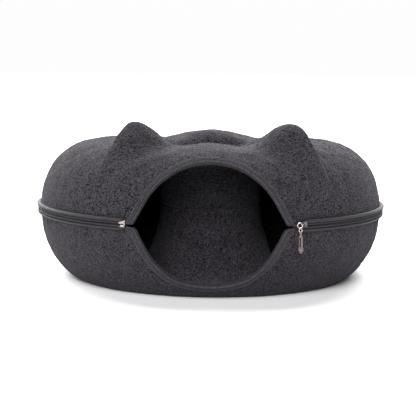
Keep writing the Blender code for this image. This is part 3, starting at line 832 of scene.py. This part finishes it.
def edge_strip(name, node, table, outward, closing, level=None):
    """The folded knit strip along the whole edge of an entrance half, its ends cut level at the zip if asked."""
    curve = whole_edge(table)
    total = np.linalg.norm(np.diff(curve, axis=0), axis=1).sum()
    count = int(total / RIB_PITCH * 8)
    edge = spread(curve, np.arange(count + 1) / count)
    heading = unit(np.gradient(edge, axis=0))
    step = 0.001
    base = front_point(edge[:, 0], edge[:, 1])
    ahead = front_point(edge[:, 0] + heading[:, 0] * step, edge[:, 1] + heading[:, 1] * step) - base
    away = np.cross(unit(ahead), front_normal(edge[:, 0], edge[:, 1])) * outward
    far = np.arange(count + 1) / count * total
    ends = np.clip(np.minimum(far, total - far) * 1000 / closing, 0, 1)
    tuck = np.sqrt(1 - (1 - ends) ** 2) * STRIP_TUCK + (1 - STRIP_TUCK)
    slanted = np.clip(1 - np.minimum(far, total - far) / END_STRETCH, 0, 1) ** 2
    inward = np.where(far < total / 2, -1, 1)
    # dark gathers each point's painted shade, and painted highlight where it is below zero, for the knit finish
    rings, dark = [], []
    for distance, lift, hollow in STRIP_PROFILE:
        raised, shade = np.full(count + 1, lift), np.full(count + 1, hollow)
        for middle, half, deep, slant, between in KNIT_ROWS:
            across = (distance - middle) / half
            if lift > 0.35 and abs(across) < 1:
                loop = np.abs(np.sin(pi * (far / RIB_PITCH + slant * across)))
                raised += deep * (1 - across * across) * (loop - 0.6)
                # Painted shade between the loops, deepest where a loop dips
                shade = np.clip(shade + between * (1 - across * across) * (1 - loop) ** 1.5, -1, 1)
        raised = (raised + STRIP_SINK) * tuck - STRIP_SINK
        slide = (distance - STRIP_HOLD) * tuck + STRIP_HOLD
        spot = base + away * (slide / 1000)[:, None]
        if level is not None:
            fall = unit(ahead) * inward[:, None]
            reach = np.maximum(0, (spot[:, 2] - level) / np.maximum(-fall[:, 2], 0.3))
            spot = spot + fall * (reach * slanted)[:, None]
        surface = front_point(spot[:, 0], spot[:, 2])
        rings.append(surface + front_normal(spot[:, 0], spot[:, 2]) * (raised / 1000)[:, None])
        dark.append(shade)
    strip = woven_loop(np.stack(rings, 1), np.stack(dark, 1))
    turned_out(strip)
    smooth(strip, 70)
    return stands_for(strip, name, KNIT_FINISH, node)


# ---------------------------------------------------------------- zip


def round_ring(section, ends):
    """Rings of points of a section (radius, height) swept round the back, narrowed towards the left end."""
    turns = np.linspace(-radians(ends[0]), -(2 * pi - radians(ends[1])), TAPE_TURNS + 1)
    section = np.array(section)
    rings = ring_point(section[None, :, 0], turns[:, None], section[None, :, 1])
    near = np.clip(np.abs(turns - turns[0]) / TAPER_TURN, 0, 1)
    share = (1 - (1 - np.sqrt(1 - (1 - near) ** 2)) * TAPER)[:, None, None]
    inner = ring_point(BODY_RADIUS + 3 * GAP, turns[:, None], section[None, :, 1].mean())
    return inner + (rings - inner) * share


def turned_tape(name, node, outline, ends):
    """A zip tape turned over a cord, with its loose edge beside the coil."""
    section = [(BODY_RADIUS + GAP + out / 1000, ZIP_HEIGHT + up / 1000) for out, up in outline]
    welt = woven_loop(round_ring(section, ends))
    turned_out(welt)
    smooth(welt, 75)
    return stands_for(welt, name, TAPE_FINISH, node)


def zip_coil():
    """Nylon coil in the groove between the tape edges, one turn copied all the way round."""
    deselected()
    bpy.ops.mesh.primitive_torus_add(
        major_segments=10, minor_segments=4, major_radius=0.00062, minor_radius=0.00022, rotation=(0, pi / 2, 0)
    )
    turn = bpy.context.object
    bpy.ops.object.transform_apply(rotation=True)
    bpy.ops.transform.resize(value=(1.0, 1.0, 1.2))
    bpy.ops.object.transform_apply(scale=True)
    radius = BODY_RADIUS + COIL_LIFT
    span = 2 * pi - radians(sum(CHAIN_ENDS))
    count = int(span * radius / COIL_PITCH)
    places = []
    for k in range(count):
        azimuth = -(radians(CHAIN_ENDS[0]) + 0.004) - (span - 0.008) * k / (count - 1)
        spot = ring_point(radius, azimuth, ZIP_HEIGHT + COIL_RISE)
        along = np.array((cos(azimuth), sin(azimuth), 0.0))
        out = np.array((sin(azimuth), -cos(azimuth), 0.0))
        places.append(placed(spot, along + 0.25 * np.array((0, 0, 1.0)), out))
    coil = strewn(turn, places)
    smooth(coil, 80)
    stands_for(coil, "zip_coil", COIL_FINISH, "zip_chain")


def stitch(length, radius):
    """One short stitch of thread, pinched at both ends."""
    deselected()
    bpy.ops.mesh.primitive_uv_sphere_add(segments=6, ring_count=5, radius=1.0, rotation=(0, pi / 2, 0))
    one = bpy.context.object
    bpy.ops.object.transform_apply(rotation=True)
    one.scale = (length / 2, radius, radius)
    bpy.ops.object.transform_apply(scale=True)
    return one


def crease_stitches(name, edge, ends, seed):
    """Thread that pulls the welt down onto the felt, in the crease between them; its dark colour is painted shadow
    along the crease.
    """
    side = 1 if edge > 0 else -1
    height = ZIP_HEIGHT + edge / 1000
    span = 2 * pi - radians(sum(ends))
    count = int(span * BODY_RADIUS / STITCH_PITCH)
    places = []
    rng = np.random.default_rng(seed)
    for k in range(count):
        azimuth = -(radians(ends[0]) + 0.008) - (span - 0.012) * (k + rng.uniform(-0.15, 0.15)) / (count - 1)
        level = height + side * rng.uniform(0, 0.0006)
        spot = ring_point(wall_radius(level, azimuth) + 0.0003, azimuth, level)
        along = np.array((cos(azimuth), sin(azimuth), rng.uniform(-0.2, 0.2)))
        out = np.array((sin(azimuth), -cos(azimuth), 0.0))
        places.append(placed(spot, along, out))
    sewn = strewn(stitch(*STITCH_SIZE), places)
    smooth(sewn, 80)
    return settled(sewn, name, CREASE_SHADE_THREAD)


# ---------------------------------------------------------------- metal parts

# The pull's rows from its neck to its tip, in millimetres: height, then x of each column from the pull's middle
PULL_ROWS = (
    (91.9, (-1.25, -0.75, -0.20, 0.35, 0.80, 1.20)),
    (90.3, (-1.45, -0.90, -0.20, 0.45, 0.95, 1.40)),
    (88.7, (-1.10, -0.70, -0.20, 0.30, 0.70, 1.05)),
    (87.2, (-1.50, -1.10, -0.10, 0.65, 1.05, 1.70)),
    (86.0, (-2.25, -1.60, 0.05, 0.85, 1.30, 2.35)),
    (85.1, (-2.35, -1.65, 0.15, 0.90, 1.35, 2.45)),
    (78.5, (-2.35, -1.65, 0.15, 0.90, 1.38, 2.47)),
    (72.1, (-2.35, -1.65, 0.15, 0.90, 1.40, 2.50)),
    (70.9, (-2.70, -1.60, -0.10, 0.85, 1.60, 2.90)),
    (68.2, (-3.10, -1.65, 0.00, 0.95, 1.95, 3.55)),
    (66.0, (-1.75, -0.85, 0.10, 0.80, 1.40, 2.15)),
    (63.9, (-0.05, 0.15, 0.35, 0.50, 0.65, 0.85)),
)
# How far each column stands proud along the rails, in millimetres
PULL_RAISED = (0.00, 0.25, 0.15, 0.45, -0.10, 0.10)
PULL_NECK_TWIST = (0.55, -0.55, 0.45, 0.10)
PULL_SLOT = ((1, 5), (1, 6))
PULL_MIDDLE = (0.1164, -0.2343)
# The forked stop's columns from left to right, in millimetres: x, then heights of its four rows
STOP_COLUMNS = (
    (-5.2, (1.80, 0.45, -1.55, -2.55)),
    (-3.4, (3.05, 0.25, -1.25, -3.65)),
    (-0.9, (3.35, 0.30, -1.20, -4.05)),
    (1.4, (3.75, 0.35, -0.95, -3.95)),
    (2.4, (4.65, 1.45, -1.55, -3.90)),
    (3.8, (5.20, 3.85, -3.05, -3.80)),
)
STOP_BULGE = (0.0, 1.8, 1.3, -0.6, 0.9, 0.1)
STOP_MIDDLE = (-0.1133, -0.2331, 0.0998)
RING_MIDDLE = (0.1151, -0.2341, 0.1006)
LINK_MIDDLE = (0.1161, -0.2343, 0.0946)
SLIDER_MIDDLE = (0.1204, -0.2308, 0.1020)
METAL_THICK = 0.0016
# The hollow in the pull's tip: its lowest and highest height, its middle from the pull's middle, half its width
TIP_HOLLOW = (0.0662, 0.0709, 0.0006, 0.0016)
STOP_DROPPED = ((0, 1), (1, 1), (2, 1), (4, 1))
STOP_THICK = 0.0012
STOP_AZIMUTH = -26
SLIDER_SIZE = (0.0088, 0.0022, 0.0080)
SLIDER_TURN = 27


def picked(piece, kind, test):
    """Opens a piece for editing with the points or faces selected whose middle passes the test."""
    alone(piece)
    bpy.ops.object.mode_set(mode="EDIT")
    bpy.ops.mesh.select_mode(type=kind)
    bpy.ops.mesh.select_all(action="DESELECT")
    bpy.ops.object.mode_set(mode="OBJECT")
    items = piece.data.polygons if kind == "FACE" else piece.data.vertices
    for item in items:
        item.select = bool(test(item.center if kind == "FACE" else item.co, item.index))
    bpy.ops.object.mode_set(mode="EDIT")


def cast_plate(points, dropped, thick, round_off):
    """A flat cast part: a grid bent to its outline, holes cut out, thickened, its edges rounded."""
    plate = cloth_grid(points)
    across = points.shape[0] - 1
    holes = {row * across + column for column, row in dropped}
    picked(plate, "FACE", lambda middle, k: k in holes)
    bpy.ops.mesh.delete(type="FACE")
    bpy.ops.object.mode_set(mode="OBJECT")
    if sum(p.normal.y for p in plate.data.polygons) > 0:
        plate.data.flip_normals()
    applied(plate, "SOLIDIFY", thickness=thick, offset=-1, use_even_offset=True)
    applied(plate, "BEVEL", width=round_off, segments=2, limit_method="ANGLE", angle_limit=radians(40))
    return plate


def metal(piece, name, node, finish, angle=35):
    smooth(piece, angle)
    return stands_for(piece, name, finish, node)


def zip_pull():
    """The slotted bar with its uneven rails, twisted neck and pointed tip with a hollow in it."""
    points = []
    for column, raised in enumerate(PULL_RAISED):
        line = []
        for row, (height, xs) in enumerate(reversed(PULL_ROWS)):
            row = len(PULL_ROWS) - 1 - row
            lift = raised if 3 < row < 8 else 0.0
            if row < 4:
                lift = PULL_NECK_TWIST[row] * (column - 2.5) / 2.5
            lean = (92 - height) / 28 * 0.4
            line.append((PULL_MIDDLE[0] + (xs[column] + lean) / 1000, PULL_MIDDLE[1] - lift / 1000, height / 1000))
        points.append(line)
    slot = [(k, len(PULL_ROWS) - 2 - row) for k, row in PULL_SLOT]
    pull = cast_plate(np.array(points), slot, METAL_THICK, 0.00022)
    front = min(p.center.y for p in pull.data.polygons)
    low, high, aside, half = TIP_HOLLOW

    def in_tip(c, _):
        return c.y < front + 0.0008 and low < c.z < high and abs(c.x - PULL_MIDDLE[0] - aside) < half

    picked(pull, "FACE", in_tip)
    bpy.ops.mesh.inset(thickness=0.00035, depth=-0.0004)
    bpy.ops.object.mode_set(mode="OBJECT")
    return metal(pull, "pull_bar", "zip_pull", CAST_FINISH)


def wire_ring(spot, wide, tall, wire, turn, segments=32):
    """A closed ring of round wire, its back pressed flat, turned about the upright."""
    deselected()
    bpy.ops.mesh.primitive_torus_add(
        major_segments=segments, minor_segments=12, major_radius=wide - wire, minor_radius=wire,
        rotation=(pi / 2, 0, 0),
    )
    ring = bpy.context.object
    bpy.ops.object.transform_apply(rotation=True)
    picked(ring, "VERT", lambda co, k: co.y > wire * 0.4)
    bpy.ops.transform.resize(value=(1.0, 0.55, 1.0), center_override=(0, wire * 0.4, 0))
    bpy.ops.mesh.select_all(action="SELECT")
    bpy.ops.transform.resize(value=(1.0, 1.0, tall / wide), center_override=(0, 0, 0))
    bpy.ops.object.mode_set(mode="OBJECT")
    ring.rotation_euler = (0, 0, turn)
    ring.location = spot
    bpy.ops.object.transform_apply(location=True, rotation=True)
    return ring


def zip_slider():
    """The slider's body with its hollowed face and the bridge that the ring hangs from."""
    deselected()
    bpy.ops.mesh.primitive_cube_add(size=1.0)
    body = bpy.context.object
    body.scale = SLIDER_SIZE
    bpy.ops.object.transform_apply(scale=True)
    picked(body, "VERT", lambda co, k: co.x < 0)
    bpy.ops.transform.resize(value=(1.0, 1.0, 0.78), center_override=(0, 0, 0))
    bpy.ops.object.mode_set(mode="OBJECT")
    picked(body, "FACE", lambda middle, k: middle.y < -0.001)
    bpy.ops.mesh.inset(thickness=0.0011, depth=0)
    bpy.ops.mesh.inset(thickness=0.0004, depth=-0.0007)
    bpy.ops.object.mode_set(mode="OBJECT")
    picked(body, "FACE", lambda middle, k: middle.x > 0.0042)
    bpy.ops.mesh.inset(thickness=0.0005, depth=-0.0009)
    bpy.ops.object.mode_set(mode="OBJECT")
    applied(body, "BEVEL", width=0.00035, segments=2, limit_method="ANGLE", angle_limit=radians(30))
    bpy.ops.mesh.primitive_torus_add(
        major_segments=24, minor_segments=10, major_radius=0.0024, minor_radius=0.00055,
        location=(-0.0016, -0.0011, 0),
    )
    bridge = bpy.context.object
    bpy.ops.object.transform_apply(location=True)
    picked(bridge, "VERT", lambda co, k: True)
    bpy.ops.mesh.bisect(plane_co=(0, -0.0003, 0), plane_no=(0, 1, 0), use_fill=True, clear_outer=True)
    bpy.ops.mesh.select_all(action="SELECT")
    bpy.ops.transform.resize(value=(1.0, 1.0, 1.5), center_override=(0, 0, 0))
    bpy.ops.object.mode_set(mode="OBJECT")
    alone(body)
    bridge.select_set(True)
    bpy.ops.object.join()
    body.rotation_euler = (0, 0, radians(SLIDER_TURN))
    body.location = SLIDER_MIDDLE
    return metal(body, "slider_body", "zip_slider", CAST_FINISH)


def zip_end():
    """The forked end stop: two rounded lobes on the coil's ends, joined, with two prongs towards the entrance."""
    azimuth = radians(STOP_AZIMUTH)
    along, out = np.array((cos(azimuth), sin(azimuth), 0)), np.array((sin(azimuth), -cos(azimuth), 0))
    up = np.array((0, 0, 1))
    points = []
    for (x, heights), bulge in zip(STOP_COLUMNS, STOP_BULGE):
        foot = np.array(STOP_MIDDLE) + along * (x / 1000 / cos(azimuth))
        bulges = (bulge, bulge * 0.8, bulge * 0.8, bulge)
        points.append([foot + (out * b + up * z) / 1000 for z, b in zip(reversed(heights), bulges)])
    stop = cast_plate(np.array(points), STOP_DROPPED, STOP_THICK, 0.0003)
    applied(stop, "SUBSURF", levels=1)
    return metal(stop, "end_fork", "zip_end_stop", STOP_FINISH, 60)


# ---------------------------------------------------------------- floor, light and camera


# Large soft lights. Columns: name, direction it comes from, strength, spread in degrees
SOFTBOXES = (
    ("softbox_front", (-0.20, -1.0, 0.90), 2.2, 42),
    ("softbox_back", (-0.1, 1.0, 0.78), 11.6, 75),
    ("softbox_left", (-1.0, 0.0, 0.85), 0.3, 60),
    ("softbox_low_front", (-0.10, -1.0, 0.44), 2.7, 28),
)


FLOOR_WHITE = (0.86, 0.86, 0.87, 1.0)
BACKDROP_WHITE = (0.985, 0.985, 0.99, 1.0)
LENS = 107.24
CAMERA_SPOT = (-0.0004, AXIS_Y - 1.8, 0.312)
# Degrees: turned left, tipped down, rolled
CAMERA_TURNS = (0.10, 6.87, 0.604)


def studio():
    deselected()
    bpy.ops.mesh.primitive_plane_add(size=30.0, location=(0, 8.0, 0))
    floor = bpy.context.object
    floor.name = "floor"
    f = Finish("white_floor")
    f.set(Base_Color=FLOOR_WHITE, Roughness=0.9, Specular_IOR_Level=0.1)
    floor.data.materials.append(f.material)
    world = bpy.data.worlds.new("studio")
    bpy.context.scene.world = world
    world.use_nodes = True
    tree = world.node_tree
    around = tree.nodes["Background"]
    around.inputs["Color"].default_value = (0.0, 0.0, 0.0, 1.0)
    backdrop = tree.nodes.new("ShaderNodeBackground")
    backdrop.inputs["Color"].default_value = BACKDROP_WHITE
    seen = tree.nodes.new("ShaderNodeLightPath")
    either = tree.nodes.new("ShaderNodeMixShader")
    tree.links.new(seen.outputs["Is Camera Ray"], either.inputs[0])
    tree.links.new(around.outputs[0], either.inputs[1])
    tree.links.new(backdrop.outputs[0], either.inputs[2])
    tree.links.new(either.outputs[0], tree.nodes["World Output"].inputs["Surface"])
    for name, direction, strength, across in SOFTBOXES:
        bpy.ops.object.light_add(type="SUN", location=(0, 0, 2))
        light = bpy.context.object
        light.name = name
        light.data.energy = strength
        light.data.angle = radians(across)
        light.rotation_euler = Vector(direction).to_track_quat("Z", "Y").to_euler()
    bpy.ops.object.camera_add()
    camera = bpy.context.object
    camera.data.sensor_width = 36.0
    camera.data.lens = LENS
    left, down, roll = map(radians, CAMERA_TURNS)
    turn = Matrix.Rotation(left, 4, "Z") @ Matrix.Rotation(pi / 2 - down, 4, "X") @ Matrix.Rotation(roll, 4, "Z")
    camera.matrix_world = Matrix.Translation(CAMERA_SPOT) @ turn
    bpy.context.scene.camera = camera
    bpy.context.scene.view_settings.view_transform = "Standard"


# ---------------------------------------------------------------- the whole cave


def dress():
    upper, upper_outside = felt_shell("felt_upper", "upper_shell", upper_section, ARCH_EDGE, UPPER_ROWS, 5)
    lower, lower_outside = felt_shell("felt_lower", "lower_shell", lower_section, SILL_EDGE, LOWER_ROWS, 9)
    fuzz_upper = loose_fibres("loose_fibres_upper", upper, upper_outside, 31)
    fuzz_lower = loose_fibres("loose_fibres_lower", lower, lower_outside, 32)
    arch = edge_strip("edge_strip_arch", "entrance_binding_upper", ARCH_EDGE, -1, 1.6, ZIP_HEIGHT + 0.0008)
    sill = edge_strip("edge_strip_sill", "entrance_binding_lower", SILL_EDGE + SILL_END, 1, 1.8)
    upper_welt = turned_tape("tape_welt_upper", "zip_welt_upper", UPPER_TAPE, UPPER_WELT_ENDS)
    lower_welt = turned_tape("tape_welt_lower", "zip_welt_lower", LOWER_TAPE, LOWER_WELT_ENDS)
    zip_coil()
    sewn_upper = crease_stitches("crease_stitches_upper", CREASES[0], UPPER_WELT_ENDS, 17)
    sewn_lower = crease_stitches("crease_stitches_lower", CREASES[1], LOWER_WELT_ENDS, 18)
    zip_pull()
    ring = wire_ring(RING_MIDDLE, 0.0038, 0.0044, 0.0009, 0.0)
    metal(ring, "pull_ring", "zip_pull_ring", METAL_FINISH, 60)
    link = wire_ring(LINK_MIDDLE, 0.0028, 0.0032, 0.00075, radians(-30), 24)
    metal(link, "pull_link", "zip_pull_link", METAL_FINISH, 60)
    zip_slider()
    zip_end()


dress()
studio()
